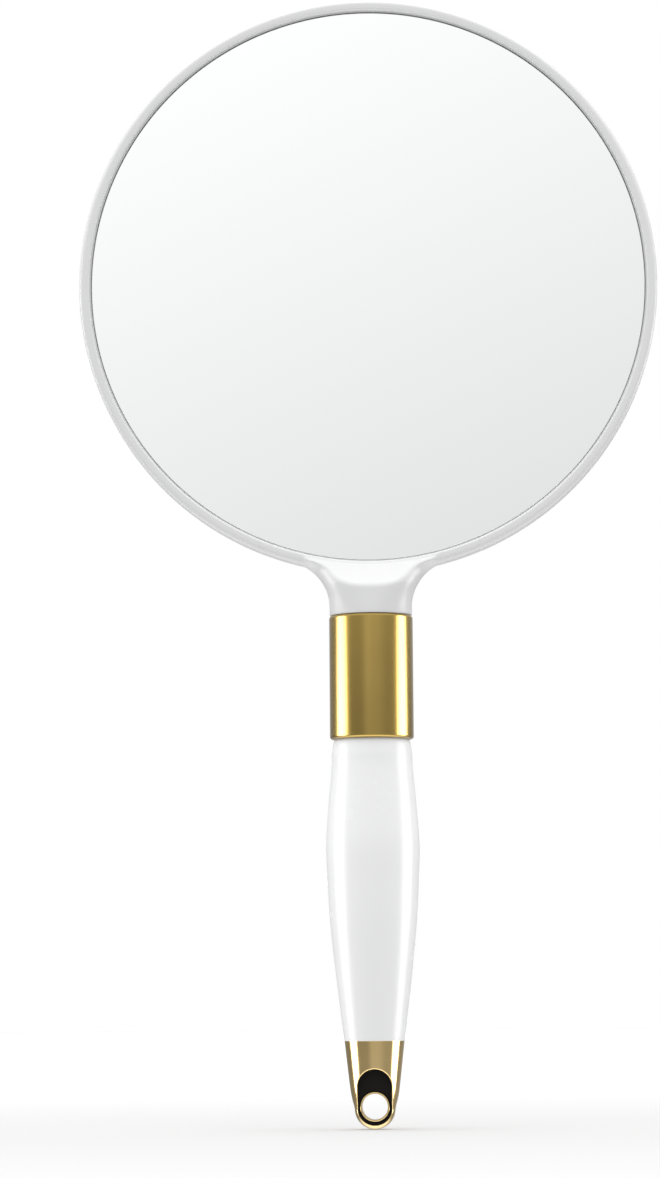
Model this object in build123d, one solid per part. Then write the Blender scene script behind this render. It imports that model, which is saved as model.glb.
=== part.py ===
"""Hand mirror for a hair salon: round head, gold collar, slim grip, gold hanging tail.

Millimetres. +Z runs up the handle towards the head and the mirror faces -Y.
The origin is the centre of the hanging hole in the tail.
"""
from build123d import *
from math import asin, cos, pi, sin, sqrt
import os

# ---- head -------------------------------------------------------------------------
HEAD_Z = 226.0          # mirror centre above the hanging hole
HEAD_R = 80.0           # outside of the rim
RIM_HALF_DEPTH = 4.6    # rim crown in front, rim edge at the back
RIM_ROUND = 1.4         # outer edge rounding, front and back
RIM_INNER_ROUND = 0.6   # rounding down to the glass
RECESS_R = 77.1         # inner wall of the rim
LEDGE_R = 76.76         # close fit round the glass edge
LEDGE_DEPTH = 0.2       # ledge below the glass front
WEB_FRONT = -0.4        # floor that carries the glass
WEB_BACK = 1.6
RIB_COUNT = 12
RIB_THICKNESS = 1.4
RIB_BACK = 3.5
RIB_INNER_R = 14.0      # middle of the hub ring the ribs start from
HUB_HALF_WALL = 1.0
RIB_OUTER_R = 74.8
SNAP_Y = 2.9            # snap groove that holds the back cover
SNAP_GROOVE_R = 77.5
SNAP_GROOVE_HALF = 0.5

GLASS_R = 76.6
GLASS_DROP = 0.12       # the glass rests low in its recess
GLASS_THICKNESS = 2.0
GLASS_CHAMFER = 0.2
FOAM_THICKNESS = 1.0
FOAM_PAD_R = 9.0
FOAM_RING_R = 52.0
FOAM_PADS_IN_RING = 6

COVER_R = 76.95
COVER_SKIRT_R = 75.4
COVER_SKIRT_FRONT = 2.0
COVER_INSIDE_Y = 3.9
COVER_DOME = 1.7        # crown of the cover above its edge
SNAP_BEAD_R = 77.4
SNAP_BEAD_HALF = 0.4

# ---- neck and tang ----------------------------------------------------------------
NECK_R = 11.35          # round section where the neck meets the collar
NECK_FLARE_R = 12.5     # side fillet between neck and head
NECK_HEAD_DEPTH = 11.2   # half depth of the neck just below the head
NECK_SQUARE_POWER = 3.3  # squareness of the section midway; 2 is a plain ellipse
NECK_PINCH_POWER = 1.65  # the same inside the rim, where the sides thin out
NECK_SQUARING_RUN = 8.5  # height over which the section turns from round to squarer
NECK_PINCH_START = 6.5   # height above the collar where the sides begin to thin out
NECK_PINCH_RUN = 7.5     # height over which they do so
SCOOP_R = 77.6          # the 45 degree slope up to the neck front starts here on the rim
SCOOP_LIFT = 0.1
SCOOP_CREST_ROUND = 1.6  # where the slope meets the neck's front
SPIGOT_R = 9.9
SPIGOT_END_Z = 118.0
TANG_R = 7.9
TANG_END_Z = 60.0
CORE_R = 4.9            # hollow core of neck and tang
CORE_TOP_Z = 145.0
DOG_WIDTH = 4.0
DOG_LENGTH = 5.0

# ---- collar -----------------------------------------------------------------------
COLLAR_R = 11.5
COLLAR_BORE_R = 10.0
COLLAR_BOTTOM_Z = 100.0
COLLAR_TOP_Z = 134.0
COLLAR_EDGE_ROUND = 0.8

# ---- grip -------------------------------------------------------------------------
GRIP_BOTTOM_Z = 18.0
GRIP_BOTTOM_R = 8.25
GRIP_TOP_R = 10.3
GRIP_SPIGOT_TOP_Z = 116.0
GRIP_SOCKET_R = 8.0
GRIP_SHOULDER_BOTTOM_Z = 54.0
GRIP_SHOULDER_TOP_Z = 58.0
GRIP_LOWER_BORE_R = 5.0
SCREW_CLEARANCE_R = 2.2
NOTCH_CLEARANCE = 0.1
GRIP_SWELL = [
    # radius, height: side of the grip from just under the collar down to the tail
    (11.0, 96.2),
    (11.3, 90.5),
    (12.2, 80.5),
    (12.8, 71.0),
    (12.5, 61.5),
    (11.9, 50.5),
    (10.8, 39.3),
    (9.6, 29.0),
]

# ---- screw joint ------------------------------------------------------------------
INSERT_LENGTH = 12.0
INSERT_GROOVE_DEPTH = 0.5
INSERT_GROOVE_WIDTH = 1.2
INSERT_GROOVE_HEIGHTS = (3.5, 8.5)
SCREW_R = 2.0
SCREW_LENGTH = 20.0
SCREW_HEAD_R = 4.0
SCREW_HEAD_HEIGHT = 2.6
SCREW_SLOT_LENGTH = 4.2
SCREW_SLOT_WIDTH = 0.9
SCREW_SLOT_DEPTH = 1.6
WASHER_R = 4.5
WASHER_THICKNESS = 0.8

# ---- tail -------------------------------------------------------------------------
TAIL_END_R = 5.55
TAIL_END_Z = -0.6       # centre of the rounded end
TAIL_SPIGOT_TOP_Z = 28.0
TAIL_WEB_HALF = 1.5
TAIL_POCKET_R = 4.65
TAIL_POCKET_BOTTOM_Z = -0.4  # centre of the pocket's lower round end
TAIL_POCKET_TOP_Z = 5.5      # centre of its upper round end
TAIL_POCKET_REACH = 12.0     # pocket cut runs out past the tail's surface
TAIL_EDGE_ROUND = 0.3
TAIL_WAIST = [(6.9, 6.2), (6.36, 2.7)]  # radius, height on the taper to the rounded end
HANG_HOLE_R = 3.5
EYELET_SHANK_R = 3.85
EYELET_LIP_R = 4.05
EYELET_HALF_LENGTH = 2.9
EYELET_LIP_LENGTH = 0.7

MIRROR_AXIS = Axis((0, 0, HEAD_Z), (0, 1, 0))


def turn_about_mirror(outline):
    """Solid of revolution about the mirror axis from a (radius, depth) outline."""
    return revolve(Plane.XY.offset(HEAD_Z) * make_face(outline), MIRROR_AXIS)


def turn_about_handle(outline):
    """Solid of revolution about the handle axis from a (radius, height) outline."""
    return revolve(Plane.XZ * make_face(outline), Axis.Z)


def disc_facing_front(radius, front, back, x=0.0, z=0.0):
    """Round disc or bore along Y between two depths."""
    middle = (front + back) / 2
    return Pos(x, middle, z) * Rot(90, 0, 0) * Cylinder(radius, back - front)


def upright_cylinder(radius, bottom, top):
    return Pos(0, 0, (bottom + top) / 2) * Cylinder(radius, top - bottom)


def polyline_with_rounding(points, roundings):
    """Closed outline through points; roundings maps a point index to its radius."""
    face = make_face(Polyline(*points, close=True))
    for index, radius in roundings.items():
        corner = Vector(*points[index])
        nearest = sorted(face.vertices(), key=lambda v: (Vector(*v) - corner).length)[0]
        face = fillet(nearest, radius)
    return face.wire()


# ---- head frame -------------------------------------------------------------------
def rim_and_web():
    """Rim ring and glass-carrying floor, one turned section."""
    ledge_y = WEB_FRONT - FOAM_THICKNESS - GLASS_THICKNESS + LEDGE_DEPTH
    outline = polyline_with_rounding(
        [
            (0, WEB_FRONT),
            (LEDGE_R, WEB_FRONT),
            (LEDGE_R, ledge_y),
            (RECESS_R, ledge_y),
            (RECESS_R, -RIM_HALF_DEPTH),
            (HEAD_R, -RIM_HALF_DEPTH),
            (HEAD_R, RIM_HALF_DEPTH),
            (RECESS_R, RIM_HALF_DEPTH),
            (RECESS_R, SNAP_Y + SNAP_GROOVE_HALF),
            (SNAP_GROOVE_R, SNAP_Y),
            (RECESS_R, SNAP_Y - SNAP_GROOVE_HALF),
            (RECESS_R, WEB_BACK),
            (0, WEB_BACK),
        ],
        {4: RIM_INNER_ROUND, 5: RIM_ROUND, 6: RIM_ROUND, 7: 0.4},
    )
    return turn_about_mirror(outline)


def web_ribs():
    """Radial stiffening ribs behind the glass floor."""
    length = RIB_OUTER_R - RIB_INNER_R
    depth = RIB_BACK - WEB_BACK
    rib = Pos(RIB_INNER_R + length / 2, WEB_BACK + depth / 2, 0) * Box(length, depth, RIB_THICKNESS)
    ribs = [Pos(0, 0, HEAD_Z) * Rot(0, i * 360 / RIB_COUNT, 0) * rib for i in range(RIB_COUNT)]
    hub = disc_facing_front(RIB_INNER_R + HUB_HALF_WALL, WEB_BACK, RIB_BACK, z=HEAD_Z)
    bore = disc_facing_front(RIB_INNER_R - HUB_HALF_WALL, WEB_BACK, RIB_BACK, z=HEAD_Z)
    return [hub - bore] + ribs


def neck_half_width(drop):
    """Half width of the neck outline at a distance below the mirror centre.

    Straight at the collar, then an arc tangent to the neck side and to the rim.
    Inside the rim it leaves along the rim's own tangent and levels off.
    """
    flare_x = NECK_R + NECK_FLARE_R
    flare_drop = sqrt((HEAD_R + NECK_FLARE_R) ** 2 - flare_x ** 2)
    joint_drop = flare_drop * HEAD_R / (HEAD_R + NECK_FLARE_R)
    joint_x = flare_x * HEAD_R / (HEAD_R + NECK_FLARE_R)
    if drop >= flare_drop:
        return NECK_R
    if drop >= joint_drop:
        return flare_x - sqrt(NECK_FLARE_R ** 2 - (flare_drop - drop) ** 2)
    inside = joint_drop - drop
    rim_slope = joint_drop / joint_x
    return joint_x + rim_slope * inside / (1 + 2.5 * inside)


def neck_half_depth(drop):
    """Half depth of the neck: round at the collar, a little shallower at the head."""
    low = HEAD_Z - COLLAR_TOP_Z
    high = HEAD_R + 2.0
    share = min(max((low - drop) / (low - high), 0.0), 1.0)
    ease = share * share * (3 - 2 * share)
    return NECK_R + (NECK_HEAD_DEPTH - NECK_R) * ease


def neck_power(drop):
    """Squareness of the section: round at the collar, squarer midway, pinched in the rim."""
    climb = HEAD_Z - COLLAR_TOP_Z - drop
    square = min(max(climb / NECK_SQUARING_RUN, 0.0), 1.0)
    pinch = min(max((climb - NECK_PINCH_START) / NECK_PINCH_RUN, 0.0), 1.0)
    ease = pinch * pinch * (3 - 2 * pinch)
    return 2.0 + (NECK_SQUARE_POWER - 2.0) * square - (NECK_SQUARE_POWER - NECK_PINCH_POWER) * ease


def neck_section(drop):
    """Closed smooth section of the neck."""
    power = neck_power(drop)
    half_width = neck_half_width(drop)
    half_depth = neck_half_depth(drop)
    points = []
    for i in range(32):
        angle = 2 * pi * i / 32
        c = cos(angle)
        s = sin(angle)
        scale = (abs(c) ** power + abs(s) ** power) ** (-1 / power)
        points.append((half_width * scale * c, half_depth * scale * s))
    section = make_face(Spline(*points, periodic=True))
    return Plane.XY.offset(HEAD_Z - drop) * section


def is_scoop_crest(edge):
    """True for the edges where the slopes meet the front and back of the neck."""
    middle = edge.center()
    return abs(middle.Y) > RIM_HALF_DEPTH + 1 and middle.Z > HEAD_Z - HEAD_R - 5


def neck_body():
    """Smooth neck between collar and head, with the slopes up to its faces."""
    first = HEAD_Z - COLLAR_TOP_Z
    drops = [first - 1.4 * i for i in range(10)]
    drops += [78.2, 77.2, 76.0, 74.5, 72.5]
    neck = loft([neck_section(drop) for drop in drops])
    slope_start = -RIM_HALF_DEPTH + SCOOP_LIFT
    slope_run = 25.0
    slope = Polyline(
        (0, WEB_FRONT),
        (SCOOP_R, WEB_FRONT),
        (SCOOP_R, slope_start),
        (SCOOP_R + slope_run, slope_start - slope_run),
        (0, slope_start - slope_run),
        close=True,
    )
    front_cut = turn_about_mirror(slope)
    neck = neck - front_cut - mirror(front_cut, Plane.XZ)
    return fillet(neck.edges().filter_by(is_scoop_crest), SCOOP_CREST_ROUND)


def spigot_and_tang():
    """Stepped stem that enters the collar and the grip."""
    stem = upright_cylinder(SPIGOT_R, SPIGOT_END_Z, COLLAR_TOP_Z + 1)
    stem += upright_cylinder(TANG_R, TANG_END_Z, SPIGOT_END_Z + 1)
    stem = chamfer(stem.edges().group_by(Axis.Z)[0], 0.6)
    dog_ring = upright_cylinder(SPIGOT_R, SPIGOT_END_Z - DOG_LENGTH, SPIGOT_END_Z + 0.5)
    bar = Pos(0, 0, SPIGOT_END_Z - DOG_LENGTH / 2) * Box(2 * SPIGOT_R, DOG_WIDTH, DOG_LENGTH + 1)
    return stem + (dog_ring & bar)


def head_frame():
    frame = rim_and_web() + web_ribs() + neck_body()
    frame += spigot_and_tang()
    frame -= upright_cylinder(CORE_R, TANG_END_Z, CORE_TOP_Z)
    return frame


# ---- parts in the head ------------------------------------------------------------
def mirror_glass():
    back = WEB_FRONT - FOAM_THICKNESS
    glass = disc_facing_front(GLASS_R, back - GLASS_THICKNESS, back, z=HEAD_Z - GLASS_DROP)
    return chamfer(glass.edges().filter_by(GeomType.CIRCLE), GLASS_CHAMFER)


def foam_tape():
    """Double-sided foam pads between the glass and its floor."""
    back = WEB_FRONT
    front = back - FOAM_THICKNESS
    pads = [disc_facing_front(FOAM_PAD_R, front, back, z=HEAD_Z)]
    for i in range(FOAM_PADS_IN_RING):
        angle = 2 * pi * i / FOAM_PADS_IN_RING
        x = FOAM_RING_R * sin(angle)
        z = HEAD_Z + FOAM_RING_R * cos(angle)
        pads.append(disc_facing_front(FOAM_PAD_R, front, back, x, z))
    return Compound(pads)


def back_cover():
    """Gently domed disc with a skirt that snaps into the rim."""
    edge = (COVER_R, RIM_HALF_DEPTH - 0.35)
    corner = (COVER_R - 0.35, RIM_HALF_DEPTH)
    crown_y = RIM_HALF_DEPTH + COVER_DOME
    dome_r = (corner[0] ** 2 + COVER_DOME ** 2) / (2 * COVER_DOME)
    half_angle = asin(corner[0] / dome_r) / 2
    dome_mid = (dome_r * sin(half_angle), crown_y - dome_r * (1 - cos(half_angle)))
    outline = Line((0, COVER_INSIDE_Y), (COVER_SKIRT_R, COVER_INSIDE_Y))
    outline += Line((COVER_SKIRT_R, COVER_INSIDE_Y), (COVER_SKIRT_R, COVER_SKIRT_FRONT))
    outline += Line((COVER_SKIRT_R, COVER_SKIRT_FRONT), (COVER_R, COVER_SKIRT_FRONT))
    outline += Line((COVER_R, COVER_SKIRT_FRONT), (COVER_R, SNAP_Y - SNAP_BEAD_HALF))
    outline += Line((COVER_R, SNAP_Y - SNAP_BEAD_HALF), (SNAP_BEAD_R, SNAP_Y))
    outline += Line((SNAP_BEAD_R, SNAP_Y), (COVER_R, SNAP_Y + SNAP_BEAD_HALF))
    outline += Line((COVER_R, SNAP_Y + SNAP_BEAD_HALF), edge)
    outline += Line(edge, corner)
    outline += ThreePointArc(corner, dome_mid, (0, crown_y))
    outline += Line((0, crown_y), (0, COVER_INSIDE_Y))
    return turn_about_mirror(outline)


# ---- handle -----------------------------------------------------------------------
def collar():
    tube = upright_cylinder(COLLAR_R, COLLAR_BOTTOM_Z, COLLAR_TOP_Z)
    tube = fillet(tube.edges().filter_by(GeomType.CIRCLE), COLLAR_EDGE_ROUND)
    return tube - upright_cylinder(COLLAR_BORE_R, COLLAR_BOTTOM_Z, COLLAR_TOP_Z)


def grip():
    """Hollow grip: swells below the collar and tapers to the tail."""
    side = Spline(
        (GRIP_TOP_R, COLLAR_BOTTOM_Z),
        *GRIP_SWELL,
        (GRIP_BOTTOM_R, GRIP_BOTTOM_Z),
        tangents=[(1.0, -1.9), (-0.12, -1.0)],
    )
    outline = Line((0, COLLAR_BOTTOM_Z), (GRIP_TOP_R, COLLAR_BOTTOM_Z))
    outline += side
    outline += Line((GRIP_BOTTOM_R, GRIP_BOTTOM_Z), (0, GRIP_BOTTOM_Z))
    outline += Line((0, GRIP_BOTTOM_Z), (0, COLLAR_BOTTOM_Z))
    body = turn_about_handle(outline)
    body += upright_cylinder(SPIGOT_R, COLLAR_BOTTOM_Z - 1, GRIP_SPIGOT_TOP_Z)
    body -= upright_cylinder(GRIP_LOWER_BORE_R, GRIP_BOTTOM_Z, GRIP_SHOULDER_BOTTOM_Z)
    body -= upright_cylinder(GRIP_SOCKET_R, GRIP_SHOULDER_TOP_Z, GRIP_SPIGOT_TOP_Z)
    body -= upright_cylinder(SCREW_CLEARANCE_R, GRIP_SHOULDER_BOTTOM_Z, GRIP_SHOULDER_TOP_Z)
    notch_bottom = SPIGOT_END_Z - DOG_LENGTH - NOTCH_CLEARANCE
    notch_height = GRIP_SPIGOT_TOP_Z - notch_bottom
    notch = Box(4 * SPIGOT_R, DOG_WIDTH + 2 * NOTCH_CLEARANCE, notch_height)
    return body - Pos(0, 0, notch_bottom + notch_height / 2) * notch


# ---- screw joint ------------------------------------------------------------------
def threaded_insert():
    """Brass plug in the end of the tang, grooved outside to hold in the plastic."""
    top = TANG_END_Z + INSERT_LENGTH
    plug = upright_cylinder(CORE_R, TANG_END_Z, top)
    for height in INSERT_GROOVE_HEIGHTS:
        bottom = TANG_END_Z + height - INSERT_GROOVE_WIDTH / 2
        ring = upright_cylinder(CORE_R + 1, bottom, bottom + INSERT_GROOVE_WIDTH)
        ring -= upright_cylinder(CORE_R - INSERT_GROOVE_DEPTH, bottom, bottom + INSERT_GROOVE_WIDTH)
        plug -= ring
    return plug - upright_cylinder(SCREW_R, TANG_END_Z, top)


def tie_washer():
    top = GRIP_SHOULDER_BOTTOM_Z
    ring = upright_cylinder(WASHER_R, top - WASHER_THICKNESS, top)
    return ring - upright_cylinder(SCREW_CLEARANCE_R, top - WASHER_THICKNESS, top)


def tie_screw():
    """Cross-recessed screw that pulls grip, collar and head together."""
    seat = GRIP_SHOULDER_BOTTOM_Z - WASHER_THICKNESS
    head = upright_cylinder(SCREW_HEAD_R, seat - SCREW_HEAD_HEIGHT, seat)
    head = fillet(head.edges().group_by(Axis.Z)[0], 1.0)
    shank = upright_cylinder(SCREW_R, seat, seat + SCREW_LENGTH)
    shank = chamfer(shank.edges().group_by(Axis.Z)[-1], 0.5)
    slot = Box(SCREW_SLOT_LENGTH, SCREW_SLOT_WIDTH, SCREW_SLOT_DEPTH)
    slot_z = seat - SCREW_HEAD_HEIGHT + SCREW_SLOT_DEPTH / 2
    recess = Pos(0, 0, slot_z) * (slot + Rot(0, 0, 90) * slot)
    return head + shank - recess


# ---- tail -------------------------------------------------------------------------
def tail_pocket():
    """Upright round-ended pocket cut towards the front of the tail."""
    floor = -TAIL_WEB_HALF
    pocket = disc_facing_front(TAIL_POCKET_R, -TAIL_POCKET_REACH, floor, z=TAIL_POCKET_BOTTOM_Z)
    pocket += disc_facing_front(TAIL_POCKET_R, -TAIL_POCKET_REACH, floor, z=TAIL_POCKET_TOP_Z)
    depth = TAIL_POCKET_REACH + floor
    length = TAIL_POCKET_TOP_Z - TAIL_POCKET_BOTTOM_Z
    middle = Box(2 * TAIL_POCKET_R, depth, length)
    return pocket + Pos(0, floor - depth / 2, TAIL_POCKET_BOTTOM_Z + length / 2) * middle


def tail_cap():
    """Gold tail: cone with a rounded end, pocketed front and back around the eyelet."""
    top_r = GRIP_BOTTOM_R
    outline = Line((0, TAIL_SPIGOT_TOP_Z), (GRIP_LOWER_BORE_R - 0.6, TAIL_SPIGOT_TOP_Z))
    outline += Line(
        (GRIP_LOWER_BORE_R - 0.6, TAIL_SPIGOT_TOP_Z), (GRIP_LOWER_BORE_R, TAIL_SPIGOT_TOP_Z - 1)
    )
    outline += Line((GRIP_LOWER_BORE_R, TAIL_SPIGOT_TOP_Z - 1), (GRIP_LOWER_BORE_R, GRIP_BOTTOM_Z))
    outline += Line((GRIP_LOWER_BORE_R, GRIP_BOTTOM_Z), (top_r - TAIL_EDGE_ROUND, GRIP_BOTTOM_Z))
    outline += Line(
        (top_r - TAIL_EDGE_ROUND, GRIP_BOTTOM_Z), (top_r - 0.03, GRIP_BOTTOM_Z - TAIL_EDGE_ROUND)
    )
    outline += Spline(
        (top_r - 0.03, GRIP_BOTTOM_Z - TAIL_EDGE_ROUND),
        *TAIL_WAIST,
        (TAIL_END_R, TAIL_END_Z),
        tangents=[(-0.12, -1.0), (0.0, -1.0)],
    )
    outline += ThreePointArc(
        (TAIL_END_R, TAIL_END_Z),
        (TAIL_END_R * sin(pi / 4), TAIL_END_Z - TAIL_END_R * cos(pi / 4)),
        (0, TAIL_END_Z - TAIL_END_R),
    )
    outline += Line((0, TAIL_END_Z - TAIL_END_R), (0, TAIL_SPIGOT_TOP_Z))
    cap = turn_about_handle(outline)
    pocket = tail_pocket()
    cap -= pocket
    cap -= mirror(pocket, Plane.XZ)
    return cap - disc_facing_front(EYELET_SHANK_R, -TAIL_WEB_HALF, TAIL_WEB_HALF)


def hanging_eyelet():
    """Tubular eyelet with a raised lip on each side of the tail web."""
    tube = disc_facing_front(EYELET_SHANK_R, -EYELET_HALF_LENGTH, EYELET_HALF_LENGTH)
    lip = disc_facing_front(EYELET_LIP_R, -EYELET_HALF_LENGTH, -EYELET_HALF_LENGTH + EYELET_LIP_LENGTH)
    lip = fillet(lip.edges().group_by(Axis.Y)[0], 0.2)
    tube += lip + mirror(lip, Plane.XZ)
    return tube - disc_facing_front(HANG_HOLE_R, -EYELET_HALF_LENGTH, EYELET_HALF_LENGTH)


PARTS = {
    "head_frame": head_frame,
    "mirror_glass": mirror_glass,
    "foam_tape": foam_tape,
    "back_cover": back_cover,
    "collar": collar,
    "grip": grip,
    "threaded_insert": threaded_insert,
    "tie_washer": tie_washer,
    "tie_screw": tie_screw,
    "tail_cap": tail_cap,
    "hanging_eyelet": hanging_eyelet,
}

os.makedirs("parts", exist_ok=True)
for name, make in PARTS.items():
    export_step(make(), f"parts/{name}.step")
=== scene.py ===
import math
import bpy
import numpy as np
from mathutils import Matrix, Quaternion, Vector


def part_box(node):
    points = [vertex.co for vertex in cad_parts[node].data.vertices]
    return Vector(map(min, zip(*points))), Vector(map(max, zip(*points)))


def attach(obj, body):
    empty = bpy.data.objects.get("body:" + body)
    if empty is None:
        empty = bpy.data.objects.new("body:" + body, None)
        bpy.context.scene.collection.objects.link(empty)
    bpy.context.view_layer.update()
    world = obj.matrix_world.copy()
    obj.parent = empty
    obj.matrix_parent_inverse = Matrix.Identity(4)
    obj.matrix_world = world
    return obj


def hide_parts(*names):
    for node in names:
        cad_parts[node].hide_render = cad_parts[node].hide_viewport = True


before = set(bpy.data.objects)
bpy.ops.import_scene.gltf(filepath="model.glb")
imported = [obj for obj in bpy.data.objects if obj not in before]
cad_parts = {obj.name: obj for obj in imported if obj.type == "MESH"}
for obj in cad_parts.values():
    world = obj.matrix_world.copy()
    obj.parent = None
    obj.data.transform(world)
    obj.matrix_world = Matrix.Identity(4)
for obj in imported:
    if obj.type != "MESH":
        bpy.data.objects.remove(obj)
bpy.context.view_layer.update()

MM = 0.001
ROOT = "root"


# ---- sizes, in millimetres ----------------------------------------------------------
def box_mm(node):
    """Lowest and highest corners of a CAD node."""
    low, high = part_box(node)
    return low / MM, high / MM


GLASS_LOW, GLASS_HIGH = box_mm("mirror_glass")
COLLAR_LOW, COLLAR_HIGH = box_mm("collar")
TAIL_LOW, TAIL_HIGH = box_mm("tail_cap")
COVER_HIGH = box_mm("back_cover")[1]
FRAME_HIGH = box_mm("head_frame")[1]
GRIP_LOW = box_mm("grip")[0]
EYELET_HIGH = box_mm("hanging_eyelet")[1]
FOAM_HIGH = box_mm("foam_tape")[1]

# Most sizes below repeat the CAD model's, because the boxes don't show them. The neck's crest
# is rounded less than in the CAD model, and the grip's side has more points near its top.
AXIS_R = 0.01               # turned discs stop here, which leaves a pinhole at their centre

HEAD_R = 80.0
HEAD_Z = FRAME_HIGH.z - HEAD_R
GLASS_R = (GLASS_HIGH.z - GLASS_LOW.z) / 2
GLASS_Z = (GLASS_HIGH.z + GLASS_LOW.z) / 2
GLASS_CHAMFER = 0.2
GLASS_EDGE_WIDTH = 0.25     # faces nearer the edge than this look ground, not silvered
RECESS_R = 77.1
LEDGE_R = 76.76
LEDGE_DEPTH = 0.2
RIM_HALF = 4.6
RIM_ROUND = 1.4
RIM_INNER_ROUND = 0.6
RIM_BACK_ROUND = 0.4
FLOOR_BACK = 1.6
FLOOR_OVERLAP = 0.3         # the floor and ledge run this far into the rim

COLLAR_R = COLLAR_HIGH.x
COLLAR_BORE_R = 10.0
COLLAR_EDGE_ROUND = 0.8

NECK_R = COLLAR_R - 0.15
NECK_END = HEAD_Z - COLLAR_HIGH.z
NECK_END_ROUND = 0.4
NECK_HEAD_DEPTH = 11.2      # half depth just below the head
NECK_ROUND_POWER = 2.0      # the section is a plain ellipse at the collar
NECK_SQUARE_POWER = 3.3     # squarer midway
NECK_PINCH_POWER = 1.65     # thin at the sides inside the rim
NECK_SQUARING_RUN = 8.5
NECK_PINCH_START = 6.5
NECK_PINCH_RUN = 7.5
FLARE_R = 12.5
FLARE_FADE = 2.5            # how soon the flare stops widening inside the rim
SCOOP_ROOT_R = 73.1         # the 45 degree slope would meet the middle plane here
CREST_ROUND = 0.55
NECK_BLEND = 0.3
NECK_SET_BACK = 0.012       # keeps the neck's skin off the rim's where they overlap
NECK_HALF_ANGLE = math.radians(22.9)  # the neck's mesh replaces the rim up to here
NECK_OVERLAP_ANGLE = 0.006

SPIGOT_R = 9.9
SPIGOT_END_Z = 118
TANG_R = 7.9
TANG_END_Z = 60
TANG_CHAMFER = 0.6
CORE_R = 4.9
CORE_TOP_Z = 145

COVER_R = 76.95
COVER_EDGE_DROP = 0.35
COVER_DOME = 1.7
COVER_SKIRT_R = 75.4
COVER_SKIRT_FRONT = 2.0
COVER_INSIDE_Y = 3.9
SNAP_Y = 2.9
SNAP_HALF = 0.4
SNAP_BEAD_R = 77.4

GRIP_SPIGOT_TOP_Z = 116
GRIP_SOCKET_R = 8
GRIP_SHOULDER_BOTTOM_Z = 54
GRIP_SHOULDER_TOP_Z = 58
GRIP_LOWER_BORE_R = 5
SCREW_CLEARANCE_R = 2.2
GRIP_TOP = (10.25, 99.98)   # radius, height

TAIL_TOP_R = TAIL_HIGH.x
TAIL_TOP_Z = GRIP_LOW.z
TAIL_END_R = 5.55
TAIL_END_Z = TAIL_LOW.z + TAIL_END_R
TAIL_TOP_ROUND = 0.3
TAIL_EDGE_ROUND = 0.28
TAIL_SLANT = 0.98           # makes a step in radius roughly a distance on the taper
TAIL_WEB_HALF = 1.5
TAIL_SPIGOT_TOP_Z = 28
POCKET_R = 4.65
POCKET_BOTTOM_Z = -0.4
POCKET_TOP_Z = 5.5
POCKET_PAINTED_SHADE_MARGIN = 0.07  # the pocket's painted shade covers its walls as well
HANG_HOLE_R = 3.5
EYELET_LIP_STEP = 0.2
EYELET_LIP_LENGTH = 0.7


# ---- meshes ------------------------------------------------------------------------
def new_piece(name, verts, faces, material, node, slot=None, sharp_deg=30):
    """Mesh piece from millimetre vertices, riding on the object and standing for a CAD node."""
    mesh = bpy.data.meshes.new(name)
    mesh.from_pydata([tuple(v) for v in np.asarray(verts) * MM], [], [tuple(f) for f in faces])
    mesh.update()
    mesh.polygons.foreach_set("use_smooth", [True] * len(mesh.polygons))
    if sharp_deg:
        mesh.set_sharp_from_angle(angle=math.radians(sharp_deg))
    piece = bpy.data.objects.new(name, mesh)
    bpy.context.scene.collection.objects.link(piece)
    mesh.materials.append(material)
    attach(piece, ROOT)
    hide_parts(node)
    return piece


def rounded(points, radii, steps=8):
    """Polyline through points with the corners named in radii replaced by arcs."""
    out = []
    for i, point in enumerate(points):
        p = np.array(point, float)
        radius = radii.get(i, 0)
        if not radius:
            out.append(p)
            continue
        a = np.array(points[i - 1], float) - p
        b = np.array(points[(i + 1) % len(points)], float) - p
        a /= np.linalg.norm(a)
        b /= np.linalg.norm(b)
        half = math.acos(np.clip(a @ b, -1, 1)) / 2
        centre = p + (a + b) / np.linalg.norm(a + b) * radius / math.sin(half)
        start = p + a * radius / math.tan(half) - centre
        end = p + b * radius / math.tan(half) - centre
        sweep = math.pi - 2 * half
        for k in range(steps + 1):
            t = k / steps
            w = (math.sin((1 - t) * sweep), math.sin(t * sweep))
            out.append(centre + (start * w[0] + end * w[1]) / math.sin(sweep))
    return np.array(out)


def smooth_curve(points, steps=16):
    """Catmull-Rom curve through points."""
    p = np.array(points, float)
    ends = np.vstack([2 * p[0] - p[1], p, 2 * p[-1] - p[-2]])
    out = []
    for i in range(len(p) - 1):
        a, b, c, d = ends[i:i + 4]
        for t in np.linspace(0, 1, steps, endpoint=False):
            out.append(0.5 * (2 * b + (c - a) * t + (2 * a - 5 * b + 4 * c - d) * t * t
                              + (3 * b - a - 3 * c + d) * t ** 3))
    out.append(p[-1])
    return np.array(out)


def face_outwards(verts, faces, centre):
    """Turns every face round if the surface encloses a negative volume."""
    a, b, c, d = (verts[[f[i] for f in faces]] - np.array(centre) for i in range(4))
    volume = (a * np.cross(b, c)).sum() + (a * np.cross(c, d)).sum()
    if volume < 0:
        faces = [f[::-1] for f in faces]
    return verts, faces


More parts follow.
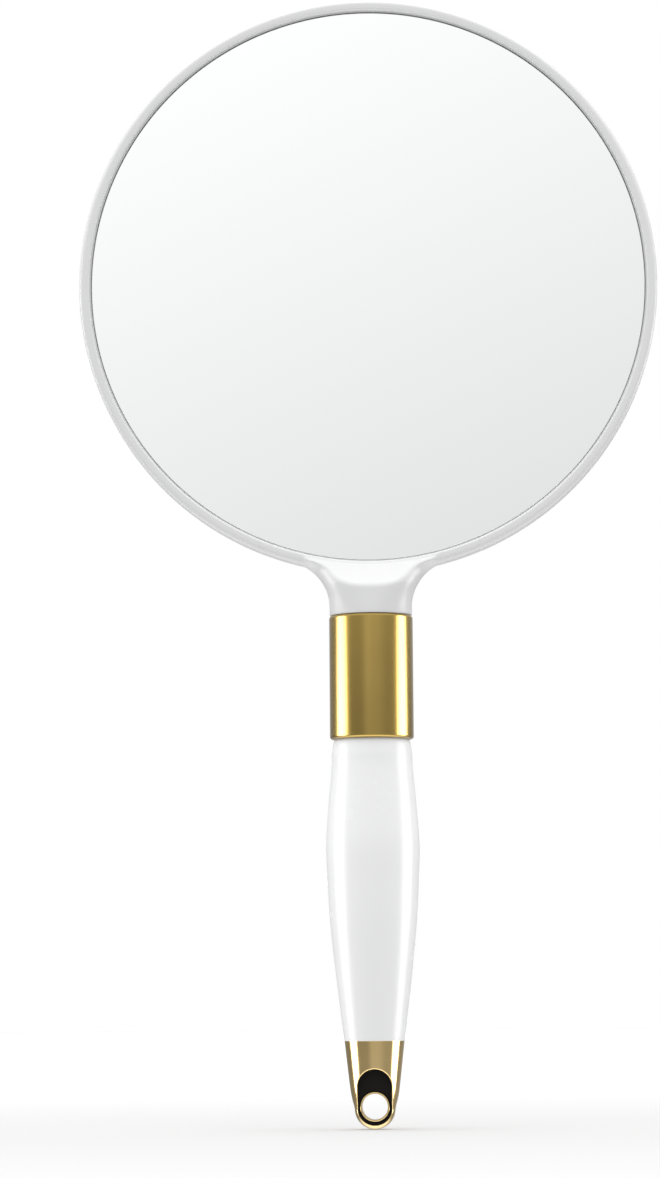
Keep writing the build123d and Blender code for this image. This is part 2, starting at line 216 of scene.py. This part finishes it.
def lathe(profile, along, centre=(0, 0, 0), segments=192, start=0.0, sweep=2 * math.pi):
    """Turned surface from (radius, height) points; along is 'Y' or 'Z'."""
    full = abs(sweep - 2 * math.pi) < 1e-6
    count = segments if full else segments + 1
    angles = start + sweep * np.arange(count) / segments
    verts = []
    for angle in angles:
        for r, h in profile:
            if along == "Z":
                verts.append((r * math.cos(angle), r * math.sin(angle), h))
            else:
                verts.append((r * math.sin(angle), h, -r * math.cos(angle)))
    verts = np.array(verts) + np.array(centre)
    n = len(profile)
    faces = []
    for i in range(segments):
        j = (i + 1) % count
        for k in range(n - 1):
            faces.append((i * n + k, j * n + k, j * n + k + 1, i * n + k + 1))
    return face_outwards(verts, faces, centre)


def join(*meshes):
    """One vertex and face list from several."""
    verts = []
    faces = []
    offset = 0
    for v, f in meshes:
        verts.append(np.asarray(v))
        faces.extend(tuple(i + offset for i in face) for face in f)
        offset += len(v)
    return np.vstack(verts), faces


def surface_of(field, low, high, step):
    """Smooth quad surface of the zero level of a distance field (inside is negative)."""
    axes = [np.arange(a, b + step, step) for a, b in zip(low, high)]
    values = field(*np.meshgrid(*axes, indexing="ij"))
    inside = values < 0
    shape = np.array(values.shape)
    total = np.zeros(tuple(shape) + (3,))
    count = np.zeros(tuple(shape))
    quads = []
    for axis in range(3):
        first = [slice(None)] * 3
        second = [slice(None)] * 3
        first[axis] = slice(0, -1)
        second[axis] = slice(1, None)
        crossing = inside[tuple(first)] != inside[tuple(second)]
        index = np.argwhere(crossing)
        others = [a for a in range(3) if a != axis]
        index = index[(index[:, others[0]] > 0) & (index[:, others[1]] > 0)]
        nxt = index.copy()
        nxt[:, axis] += 1
        va = values[tuple(index.T)]
        vb = values[tuple(nxt.T)]
        place = index.astype(float)
        place[:, axis] += va / (va - vb)
        cells = []
        for da, db in ((0, 0), (1, 0), (1, 1), (0, 1)):
            cell = index.copy()
            cell[:, others[0]] -= da
            cell[:, others[1]] -= db
            np.add.at(total, tuple(cell.T), place)
            np.add.at(count, tuple(cell.T), 1)
            cells.append(np.ravel_multi_index(tuple(cell.T), tuple(shape)))
        quad = np.stack(cells, 1)
        flip = (va >= 0) == (axis != 1)
        quad[flip] = quad[flip][:, ::-1]
        quads.append(quad)
    used = np.argwhere(count > 0)
    number = np.full(int(np.prod(shape)), -1)
    number[np.ravel_multi_index(tuple(used.T), tuple(shape))] = np.arange(len(used))
    verts = total[tuple(used.T)] / count[tuple(used.T)][:, None] * step + np.array(low)
    for _ in range(4):
        slope = gradient_of(field, verts)
        reach = field(*verts.T) / np.maximum((slope ** 2).sum(1), 0.05)
        verts = verts - np.clip(reach, -step, step)[:, None] * slope * 0.9
    faces = number[np.vstack(quads)]
    return verts, [tuple(f) for f in faces if (f >= 0).all()]


def gradient_of(field, verts, e=0.01):
    """Slope of a distance field at each vertex, by differences."""
    slope = np.empty_like(verts)
    for axis in range(3):
        ahead = verts.copy()
        behind = verts.copy()
        ahead[:, axis] += e
        behind[:, axis] -= e
        slope[:, axis] = (field(*ahead.T) - field(*behind.T)) / (2 * e)
    return slope


def round_max(a, b, r):
    """Intersection of two distance fields with a rounded edge."""
    return np.minimum(np.maximum(a, b), -r) + np.hypot(np.maximum(a + r, 0), np.maximum(b + r, 0))


def round_min(a, b, r):
    """Union of two distance fields with a filleted corner."""
    return np.maximum(np.minimum(a, b), r) - np.hypot(np.maximum(r - a, 0), np.maximum(r - b, 0))


# ---- head: rim and neck ------------------------------------------------------------
def neck_half_width(drop):
    """Half width at a drop below the head's centre: straight, then a flare tangent to the rim."""
    flare_x = NECK_R + FLARE_R
    flare_drop = math.sqrt((HEAD_R + FLARE_R) ** 2 - flare_x ** 2)
    joint_drop = flare_drop * HEAD_R / (HEAD_R + FLARE_R)
    joint_x = flare_x * HEAD_R / (HEAD_R + FLARE_R)
    arc = np.sqrt(np.maximum(FLARE_R ** 2 - (flare_drop - drop) ** 2, 0.01))
    inside = np.maximum(joint_drop - drop, 0)
    widening = joint_drop / joint_x * inside / (1 + FLARE_FADE * inside)
    flare = np.where(drop >= joint_drop, flare_x - arc, joint_x + widening)
    return np.where(drop >= flare_drop, NECK_R, flare)


def neck_field(x, y, u):
    """Neck below the head: round at the collar, squarer midway, thin at the sides inside the rim."""
    drop = -u
    width = neck_half_width(drop)
    slope = (neck_half_width(drop + 0.02) - neck_half_width(drop - 0.02)) / 0.04
    ease = np.clip((NECK_END - drop) / (NECK_END - HEAD_R - 2), 0, 1)
    depth = NECK_R + (NECK_HEAD_DEPTH - NECK_R) * ease * ease * (3 - 2 * ease)
    squaring = np.clip((NECK_END - drop) / NECK_SQUARING_RUN, 0, 1)
    pinch = np.clip((NECK_END - drop - NECK_PINCH_START) / NECK_PINCH_RUN, 0, 1)
    power = NECK_ROUND_POWER + (NECK_SQUARE_POWER - NECK_ROUND_POWER) * squaring
    power = power - (NECK_SQUARE_POWER - NECK_PINCH_POWER) * pinch * pinch * (3 - 2 * pinch)
    side = (np.abs(x) / width) ** power
    size = (side + (np.abs(y) / depth) ** power + 1e-9) ** (1 / power)
    reach = np.hypot(x, y) * (1 - 1 / size)
    share = side / size ** power
    return reach / np.sqrt(1 + (slope * share) ** 2)


def head_field(x, y, z):
    """Disc with rounded edge and filleted neck, bored out to the recess."""
    u = z - HEAD_Z
    r = np.hypot(x, u)
    disc = round_max(r - HEAD_R, np.abs(y) - RIM_HALF, RIM_ROUND)
    scoop = (np.abs(y) - (r - SCOOP_ROOT_R)) / math.sqrt(2)
    neck = round_max(neck_field(x, y, u), scoop, CREST_ROUND)
    body = round_min(disc, neck, NECK_BLEND)
    body = round_max(body, RECESS_R - r, RIM_INNER_ROUND)
    return round_max(body, -u - NECK_END, NECK_END_ROUND)


def neck_mesh():
    """Neck with the stretch of rim above it, cut off at the angle where the turned rim begins."""
    step = 0.3
    half_width = 33
    half_depth = 12.6
    low = (-half_width, -half_depth, COLLAR_HIGH.z - 0.6)
    high = (half_width, half_depth, HEAD_Z - 69.6)
    verts, faces = surface_of(lambda x, y, z: head_field(x, y, z) + NECK_SET_BACK, low, high, step)
    turn = np.arctan2(np.abs(verts[:, 0]), HEAD_Z - verts[:, 2])
    limit = NECK_HALF_ANGLE + NECK_OVERLAP_ANGLE
    return verts, [f for f in faces if max(turn[i] for i in f) < limit]


def rim_mesh():
    """Rim all round the head except above the neck."""
    profile = rounded([(RECESS_R, FLOOR_BACK), (RECESS_R, -RIM_HALF), (HEAD_R, -RIM_HALF), (HEAD_R, RIM_HALF),
                       (RECESS_R, RIM_HALF), (RECESS_R, FLOOR_BACK)],
                      {1: RIM_INNER_ROUND, 2: RIM_ROUND, 3: RIM_ROUND, 4: RIM_BACK_ROUND}, 10)
    sweep = 2 * math.pi - 2 * NECK_HALF_ANGLE
    return lathe(profile, "Y", (0, 0, HEAD_Z), 360, NECK_HALF_ANGLE, sweep)


def ledge_mesh():
    """Close fit round the glass edge, just below the glass front."""
    front = GLASS_LOW.y + LEDGE_DEPTH
    outer = RECESS_R + FLOOR_OVERLAP
    profile = [(outer, front), (LEDGE_R, front), (LEDGE_R, FOAM_HIGH.y), (outer, FOAM_HIGH.y), (outer, front)]
    return lathe(profile, "Y", (0, 0, HEAD_Z), 360)


def floor_mesh():
    """Disc that carries the glass."""
    outer = RECESS_R + FLOOR_OVERLAP
    profile = [(AXIS_R, FOAM_HIGH.y), (outer, FOAM_HIGH.y), (outer, FLOOR_BACK), (AXIS_R, FLOOR_BACK)]
    return lathe(profile, "Y", (0, 0, HEAD_Z), 96)


def stem_mesh():
    """Spigot inside the collar and the thinner tang inside the grip."""
    profile = [(SPIGOT_R, COLLAR_HIGH.z + 0.5), (SPIGOT_R, SPIGOT_END_Z), (TANG_R, SPIGOT_END_Z),
               (TANG_R, TANG_END_Z + TANG_CHAMFER), (TANG_R - TANG_CHAMFER, TANG_END_Z),
               (CORE_R, TANG_END_Z), (CORE_R, CORE_TOP_Z)]
    return lathe(profile, "Z", segments=64)


def head_frame():
    """Rim, glass floor, neck and stem."""
    return join(neck_mesh(), rim_mesh(), ledge_mesh(), floor_mesh(), stem_mesh())


# ---- the other turned pieces ---------------------------------------------------------
def mirror_glass():
    """Disc with a chamfered edge."""
    inner = GLASS_R - GLASS_CHAMFER
    front, back = GLASS_LOW.y, GLASS_HIGH.y
    profile = [(AXIS_R, front), (inner, front), (GLASS_R, front + GLASS_CHAMFER),
               (GLASS_R, back - GLASS_CHAMFER), (inner, back), (AXIS_R, back)]
    return lathe(profile, "Y", (0, 0, GLASS_Z), 360)


def back_cover():
    """Domed disc with a skirt and a bead that snaps into the rim."""
    dome_r = COVER_R - COVER_EDGE_DROP
    dome = []
    for t in np.linspace(0, 1, 40):
        r = dome_r * (1 - t)
        dome.append((max(r, AXIS_R), COVER_HIGH.y - COVER_DOME * (r / dome_r) ** 2))
    profile = [(AXIS_R, COVER_INSIDE_Y), (COVER_SKIRT_R, COVER_INSIDE_Y), (COVER_SKIRT_R, COVER_SKIRT_FRONT),
               (COVER_R, COVER_SKIRT_FRONT), (COVER_R, SNAP_Y - SNAP_HALF), (SNAP_BEAD_R, SNAP_Y),
               (COVER_R, SNAP_Y + SNAP_HALF), (COVER_R, RIM_HALF - COVER_EDGE_DROP),
               (COVER_R - 0.1, RIM_HALF - 0.1)]
    return lathe(profile + dome, "Y", (0, 0, HEAD_Z), 360)


def collar():
    """Tube with rounded outer edges."""
    bottom, top = COLLAR_LOW.z, COLLAR_HIGH.z
    profile = rounded([(COLLAR_BORE_R, bottom), (COLLAR_R, bottom), (COLLAR_R, top), (COLLAR_BORE_R, top),
                       (COLLAR_BORE_R, bottom)], {1: COLLAR_EDGE_ROUND, 2: COLLAR_EDGE_ROUND}, 10)
    return lathe(profile, "Z", segments=256)


def grip_profile():
    """Side of the grip from the collar down: a tucked-in top, a swell and a long taper."""
    return smooth_curve([GRIP_TOP, (10.62, 98.9), (10.98, 96.2), (11.08, 93.5), (11.3, 90.5),
                         (12.2, 80.5), (12.8, 71), (12.5, 61.5), (11.9, 50.5), (10.8, 39.3), (9.6, 29),
                         (TAIL_TOP_R + 0.03, TAIL_TOP_Z + 0.3), (TAIL_TOP_R - 0.2, TAIL_TOP_Z)], 12)


def grip():
    """Hollow handle with a shoulder for the washer and a spigot inside the collar."""
    inner = [(GRIP_LOWER_BORE_R, TAIL_TOP_Z), (GRIP_LOWER_BORE_R, GRIP_SHOULDER_BOTTOM_Z),
             (SCREW_CLEARANCE_R, GRIP_SHOULDER_BOTTOM_Z), (SCREW_CLEARANCE_R, GRIP_SHOULDER_TOP_Z),
             (GRIP_SOCKET_R, GRIP_SHOULDER_TOP_Z), (GRIP_SOCKET_R, GRIP_SPIGOT_TOP_Z),
             (SPIGOT_R, GRIP_SPIGOT_TOP_Z), (SPIGOT_R, COLLAR_LOW.z), GRIP_TOP]
    return lathe(np.vstack([grip_profile(), inner]), "Z", segments=256)


def eyelet():
    """Tube with a raised lip at each end."""
    end = EYELET_HIGH.y
    lip = EYELET_HIGH.x
    shank = lip - EYELET_LIP_STEP
    neck = end - EYELET_LIP_LENGTH
    profile = rounded([(HANG_HOLE_R, -end), (lip, -end), (lip, -neck), (shank, -neck), (shank, neck),
                       (lip, neck), (lip, end), (HANG_HOLE_R, end), (HANG_HOLE_R, -end)],
                      {1: 0.25, 6: 0.25, 7: 0.2}, 8)
    return lathe(profile, "Y", segments=128)


# ---- tail ----------------------------------------------------------------------------
def tail_radius(z):
    """Outer radius at a height on the taper."""
    curve = smooth_curve([(TAIL_END_R, TAIL_END_Z), (5.78, 0.4), (6.36, 2.7), (6.9, 6.2),
                          (TAIL_TOP_R, TAIL_TOP_Z), (8.9, 24)], 12)
    return np.interp(z, curve[:, 1], curve[:, 0])


def pocket_outline(x, z):
    """Distance to the pocket's outline, a slot with round ends."""
    return np.hypot(x, z - np.clip(z, POCKET_BOTTOM_Z, POCKET_TOP_Z)) - POCKET_R


def tail_field(x, y, z):
    """Taper with a round end, pocketed front and back down to a web, bored for the eyelet."""
    rho = np.hypot(x, y)
    side = (rho - tail_radius(z)) * TAIL_SLANT
    ball = np.hypot(rho, z - TAIL_END_Z) - TAIL_END_R
    body = np.where(z < TAIL_END_Z, ball, side)
    body = round_max(body, z - TAIL_TOP_Z, TAIL_TOP_ROUND)
    pocket = np.maximum(pocket_outline(x, z), TAIL_WEB_HALF - np.abs(y))
    body = round_max(body, -pocket, TAIL_EDGE_ROUND)
    return np.maximum(body, EYELET_HIGH.x - EYELET_LIP_STEP - np.hypot(x, z))


def tail_cap():
    """Tail with the spigot that presses into the grip."""
    step = 0.15
    reach = TAIL_TOP_R + 0.4
    low = (-reach, -reach, TAIL_LOW.z - 0.4)
    high = (reach, reach, TAIL_TOP_Z + 0.4)
    spigot_r = GRIP_LOWER_BORE_R
    profile = [(spigot_r, TAIL_TOP_Z - 0.5), (spigot_r, TAIL_SPIGOT_TOP_Z - 1),
               (spigot_r - 0.6, TAIL_SPIGOT_TOP_Z), (AXIS_R, TAIL_SPIGOT_TOP_Z)]
    return join(surface_of(tail_field, low, high, step), lathe(profile, "Z", segments=64))


# ---- materials -----------------------------------------------------------------------
def principled(name):
    """New material with its node tree and its shader."""
    material = bpy.data.materials.new(name)
    material.use_nodes = True
    tree = material.node_tree
    return material, tree, tree.nodes["Principled BSDF"]


def noise(tree, scale, detail=3.0, stretch=(1, 1, 1)):
    """Noise in object coordinates, so it stays fixed to the piece."""
    coords = tree.nodes.new("ShaderNodeTexCoord")
    mapping = tree.nodes.new("ShaderNodeMapping")
    mapping.inputs["Scale"].default_value = stretch
    tree.links.new(coords.outputs["Object"], mapping.inputs["Vector"])
    node = tree.nodes.new("ShaderNodeTexNoise")
    node.inputs["Scale"].default_value = scale
    node.inputs["Detail"].default_value = detail
    tree.links.new(mapping.outputs["Vector"], node.inputs["Vector"])
    return node.outputs["Fac"]


def spread(tree, value, low, high):
    """Maps a 0 to 1 value to a range."""
    node = tree.nodes.new("ShaderNodeMapRange")
    node.inputs["From Min"].default_value = 0.3
    node.inputs["From Max"].default_value = 0.7
    node.inputs["To Min"].default_value = low
    node.inputs["To Max"].default_value = high
    tree.links.new(value, node.inputs["Value"])
    return node.outputs["Result"]


def tint(tree, value, dark, light):
    """Colour between dark and light."""
    node = tree.nodes.new("ShaderNodeMix")
    node.data_type = "RGBA"
    node.inputs["A"].default_value = (*dark, 1)
    node.inputs["B"].default_value = (*light, 1)
    tree.links.new(value, node.inputs["Factor"])
    return node.outputs["Result"]


def bump(tree, bsdf, value, strength, distance):
    """Fine relief from a 0 to 1 value."""
    node = tree.nodes.new("ShaderNodeBump")
    node.inputs["Strength"].default_value = strength
    node.inputs["Distance"].default_value = distance
    tree.links.new(value, node.inputs["Height"])
    tree.links.new(node.outputs["Normal"], bsdf.inputs["Normal"])


def finish_material(name, dark, light, rough, metallic=0.0, grain=60.0, stretch=(1, 1, 1), bump_mm=0.0,
                    bump_strength=0.1, specular=0.5, coat=0.0):
    """Principled material with colour drift, uneven roughness and a fine surface texture."""
    material, tree, bsdf = principled(name)
    drift = spread(tree, noise(tree, grain * 0.25), 0, 1)
    tree.links.new(tint(tree, drift, dark, light), bsdf.inputs["Base Color"])
    tree.links.new(spread(tree, noise(tree, grain, 6, stretch), *rough), bsdf.inputs["Roughness"])
    bsdf.inputs["Metallic"].default_value = metallic
    bsdf.inputs["Specular IOR Level"].default_value = specular
    bsdf.inputs["Coat Weight"].default_value = coat
    bsdf.inputs["Coat Roughness"].default_value = 0.12
    if bump_mm:
        bump(tree, bsdf, noise(tree, grain * 3, 2, stretch), bump_strength, bump_mm * MM)
    return material


WHITE = finish_material("white_gloss", (0.690, 0.692, 0.696), (0.700, 0.700, 0.703), (0.28, 0.32),
                        grain=60, bump_mm=0.02, bump_strength=0.03, specular=0.2)
# Painted light: the same white plastic as white_gloss, made lighter to stand for the grip catching more light
# than the head.
PAINTED_LIGHT_GRIP_WHITE = finish_material("grip_white_painted_light", (0.812, 0.814, 0.818), (0.822, 0.822, 0.825), (0.24, 0.28),
                             grain=60, bump_mm=0.02, bump_strength=0.03, specular=0.3)
# Painted shade: the satin gold's base colour is darkened to brown, standing for the dark surroundings
# reflected in the collar's middle; the gold hue itself is the collar's own.
SATIN_GOLD_PAINTED_SHADE = finish_material("satin_gold_painted_shade", (0.385, 0.262, 0.062), (0.415, 0.287, 0.072), (0.19, 0.25),
                             metallic=1.0, grain=220, stretch=(1, 1, 0.12), bump_mm=0.02,
                             bump_strength=0.12, coat=0.5)
BRIGHT_GOLD = finish_material("polished_gold", (0.66, 0.49, 0.22), (0.73, 0.55, 0.27), (0.09, 0.15),
                              metallic=1.0, grain=160)
# Painted shade: near-black colour that stands for the shade deep in the tail's pocket.
PAINTED_SHADE_RECESS = finish_material("recess_painted_shade", (0.012, 0.010, 0.008), (0.02, 0.016, 0.012), (0.35, 0.5),
                              grain=160, specular=0.12)
BRASS = finish_material("plain_brass", (0.70, 0.52, 0.22), (0.78, 0.60, 0.28), (0.25, 0.35),
                        metallic=1.0, grain=200)
ZINC = finish_material("zinc_steel", (0.55, 0.56, 0.58), (0.66, 0.67, 0.69), (0.25, 0.4),
                       metallic=1.0, grain=300)
FOAM = finish_material("foam", (0.03, 0.03, 0.033), (0.05, 0.05, 0.055), (0.85, 0.95),
                       grain=600, bump_mm=0.1, bump_strength=0.4)
SILVER = finish_material("silvered_glass", (0.90, 0.905, 0.905), (0.905, 0.91, 0.91), (0.0, 0.012),
                         metallic=1.0, grain=14)
GLASS_EDGE = finish_material("ground_edge", (0.86, 0.89, 0.88), (0.93, 0.95, 0.94), (0.12, 0.2),
                             metallic=1.0, grain=300)


# ---- pieces --------------------------------------------------------------------------
new_piece("head_frame_moulding", *head_frame(), WHITE, "head_frame", sharp_deg=45)
glass = new_piece("mirror_disc", *mirror_glass(), SILVER, "mirror_glass", sharp_deg=20)
glass.data.materials.append(GLASS_EDGE)
for polygon in glass.data.polygons:
    if math.hypot(polygon.center.x, polygon.center.z - GLASS_Z * MM) > (GLASS_R - GLASS_EDGE_WIDTH) * MM:
        polygon.material_index = 1
new_piece("back_cover_disc", *back_cover(), WHITE, "back_cover")
new_piece("collar_tube", *collar(), SATIN_GOLD_PAINTED_SHADE, "collar")
new_piece("grip_moulding", *grip(), PAINTED_LIGHT_GRIP_WHITE, "grip")
tail = new_piece("tail_casting", *tail_cap(), BRIGHT_GOLD, "tail_cap", sharp_deg=50)
# The pocket's floor and walls get the near-black painted shade.
tail.data.materials.append(PAINTED_SHADE_RECESS)
for polygon in tail.data.polygons:
    x, y, z = polygon.center / MM
    if z < TAIL_TOP_Z - 4 and pocket_outline(x, z) < POCKET_PAINTED_SHADE_MARGIN:
        polygon.material_index = 1
new_piece("eyelet_tube", *eyelet(), BRIGHT_GOLD, "hanging_eyelet")

HIDDEN_FINISHES = {"foam_tape": FOAM, "threaded_insert": BRASS, "tie_washer": ZINC, "tie_screw": ZINC}
for node, material in HIDDEN_FINISHES.items():
    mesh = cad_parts[node].data
    mesh.materials.clear()
    mesh.materials.append(material)


# ---- studio --------------------------------------------------------------------------
FLOOR_HALF = 6.0            # metres


def add_floor():
    """Pale floor under the tail, with painted shade making it slightly darker near it, hidden from
    reflections and bounced light.
    """
    z = TAIL_LOW.z * MM
    h = FLOOR_HALF
    mesh = bpy.data.meshes.new("floor")
    mesh.from_pydata([(-h, -h, z), (h, -h, z), (h, h, z), (-h, h, z)], [], [(0, 1, 2, 3)])
    floor = bpy.data.objects.new("floor", mesh)
    bpy.context.scene.collection.objects.link(floor)
    material, tree, bsdf = principled("pale_floor")
    coords = tree.nodes.new("ShaderNodeTexCoord")
    away = tree.nodes.new("ShaderNodeVectorMath")
    away.operation = "LENGTH"
    tree.links.new(coords.outputs["Object"], away.inputs[0])
    # Painted shade: the floor's colour is darkest within about 0.1 m of the tail and lightens out to 0.9 m.
    painted_shade_fade = smooth_step(tree, away.outputs["Value"], 0.1, 0.9, 0.0, 1.0)
    tree.links.new(tint(tree, painted_shade_fade, (0.475, 0.475, 0.475), (0.54, 0.54, 0.54)), bsdf.inputs["Base Color"])
    bsdf.inputs["Roughness"].default_value = 0.9
    bsdf.inputs["Specular IOR Level"].default_value = 0.1
    mesh.materials.append(material)
    floor.visible_glossy = False
    floor.visible_diffuse = False


def maths(tree, operation, *inputs):
    """One arithmetic node; each input is a number or another node's output."""
    node = tree.nodes.new("ShaderNodeMath")
    node.operation = operation
    for slot, value in zip(node.inputs, inputs):
        if isinstance(value, (int, float)):
            slot.default_value = value
        else:
            tree.links.new(value, slot)
    return node.outputs[0]


def smooth_step(tree, value, low, high, to_low, to_high):
    """Eases from to_low to to_high as value goes from low to high."""
    node = tree.nodes.new("ShaderNodeMapRange")
    node.interpolation_type = "SMOOTHSTEP"
    for name, number in (("From Min", low), ("From Max", high), ("To Min", to_low), ("To Max", to_high)):
        node.inputs[name].default_value = number
    tree.links.new(value, node.inputs["Value"])
    return node.outputs["Result"]


def soft_light(tree, x, y, z):
    """Brightness of the light on matt surfaces: more from above and below, less from front and back."""
    above = maths(tree, "MULTIPLY", maths(tree, "MAXIMUM", z, 0.0), 3.0)
    below = maths(tree, "MULTIPLY", maths(tree, "MINIMUM", z, 0.0), -1.7)
    soft = maths(tree, "ADD", maths(tree, "ADD", 0.55, above), below)
    soft = maths(tree, "ADD", soft, maths(tree, "MULTIPLY", x, -0.10))
    ends = maths(tree, "MULTIPLY", maths(tree, "ABSOLUTE", y), -0.5)
    return maths(tree, "MULTIPLY", soft, maths(tree, "ADD", ends, 1.0))


def side_dimming(tree, x, height):
    """Factor that darkens the card to the left and right, near the horizon only."""
    left = smooth_step(tree, x, -0.50, -0.12, 0.62, 1.0)
    right = smooth_step(tree, x, 0.25, 0.80, 1.0, 0.74)
    dim = maths(tree, "SUBTRACT", maths(tree, "MINIMUM", left, right), 1.0)
    dim = maths(tree, "MULTIPLY", dim, smooth_step(tree, height, 0.20, 0.45, 1.0, 0.0))
    return maths(tree, "ADD", dim, 1.0)


def reflected_card(tree, x, y, z, height):
    """Graded card seen in shiny surfaces: brighter upwards, to the left and underneath, dimmer behind."""
    glass_aim_z = 0.1736  # the height that the middle of the glass reflects to the camera
    card = maths(tree, "MULTIPLY", maths(tree, "SUBTRACT", z, glass_aim_z), 1.78)
    card = maths(tree, "ADD", 0.965, card)
    middle = maths(tree, "MINIMUM", maths(tree, "MAXIMUM", x, -0.09), 0.09)
    card = maths(tree, "ADD", card, maths(tree, "MULTIPLY", middle, -0.79))
    card = maths(tree, "MINIMUM", maths(tree, "MAXIMUM", card, 0.66), 1.12)
    card = maths(tree, "MAXIMUM", card, smooth_step(tree, z, -0.80, -0.15, 2.2, 0.0))
    card = maths(tree, "MULTIPLY", card, smooth_step(tree, y, -0.5, 0.9, 1.0, 0.72))
    return maths(tree, "MULTIPLY", card, side_dimming(tree, x, height))


def side_strips(tree, x, y, height):
    """Bright upright strips at the left and right, the right one turned slightly back."""
    right = maths(tree, "ADD", maths(tree, "MULTIPLY", x, 0.997), maths(tree, "MULTIPLY", y, 0.08))
    side = maths(tree, "MAXIMUM", maths(tree, "MULTIPLY", x, -1.0), right)
    strip = smooth_step(tree, side, 0.92, 0.995, 0.0, 1.0)
    level = smooth_step(tree, height, 0.25, 0.75, 1.0, 0.0)
    return maths(tree, "MULTIPLY", maths(tree, "MULTIPLY", strip, level), 9.5)


def add_world():
    """Studio in three parts: plain white for the camera, card and strips for direct shiny
    reflections, and soft light for everything else."""
    world = bpy.data.worlds.new("studio")
    bpy.context.scene.world = world
    world.use_nodes = True
    tree = world.node_tree
    tree.nodes.clear()
    coords = tree.nodes.new("ShaderNodeTexCoord")
    split = tree.nodes.new("ShaderNodeSeparateXYZ")
    tree.links.new(coords.outputs["Generated"], split.inputs[0])
    x, y, z = split.outputs
    height = maths(tree, "ABSOLUTE", z)
    soft = soft_light(tree, x, y, z)
    shiny = maths(tree, "ADD", reflected_card(tree, x, y, z, height), side_strips(tree, x, y, height))
    path = tree.nodes.new("ShaderNodeLightPath")
    direct = maths(tree, "SUBTRACT", 1.0, maths(tree, "MINIMUM", path.outputs["Diffuse Depth"], 1.0))
    glossy = maths(tree, "MULTIPLY", path.outputs["Is Glossy Ray"], direct)
    camera = path.outputs["Is Camera Ray"]
    mixed = maths(tree, "ADD", maths(tree, "MULTIPLY", shiny, glossy),
                  maths(tree, "MULTIPLY", soft, maths(tree, "SUBTRACT", 1.0, glossy)))
    mixed = maths(tree, "MULTIPLY", mixed, maths(tree, "SUBTRACT", 1.0, camera))
    strength = maths(tree, "ADD", mixed, camera)
    background = tree.nodes.new("ShaderNodeBackground")
    background.inputs["Color"].default_value = (1, 1, 1, 1)
    tree.links.new(strength, background.inputs["Strength"])
    output = tree.nodes.new("ShaderNodeOutputWorld")
    tree.links.new(background.outputs[0], output.inputs["Surface"])


def add_camera():
    """Low, level with the lower end of the grip, looking about 6 degrees up at the mirror."""
    data = bpy.data.cameras.new("camera")
    camera = bpy.data.objects.new("camera", data)
    bpy.context.scene.collection.objects.link(camera)
    data.sensor_width = 36
    data.lens = 127.6
    camera.location = (0.020, -1.1441, 0.0254)
    aim = Vector((-0.01119, 0, 0.14165))
    look = (aim - camera.location).to_track_quat("-Z", "Y")
    camera.rotation_mode = "QUATERNION"
    camera.rotation_quaternion = look @ Quaternion((0, 0, 1), math.radians(-0.45))
    bpy.context.scene.camera = camera


add_floor()
add_world()
add_camera()
bpy.context.scene.view_settings.view_transform = "Standard"
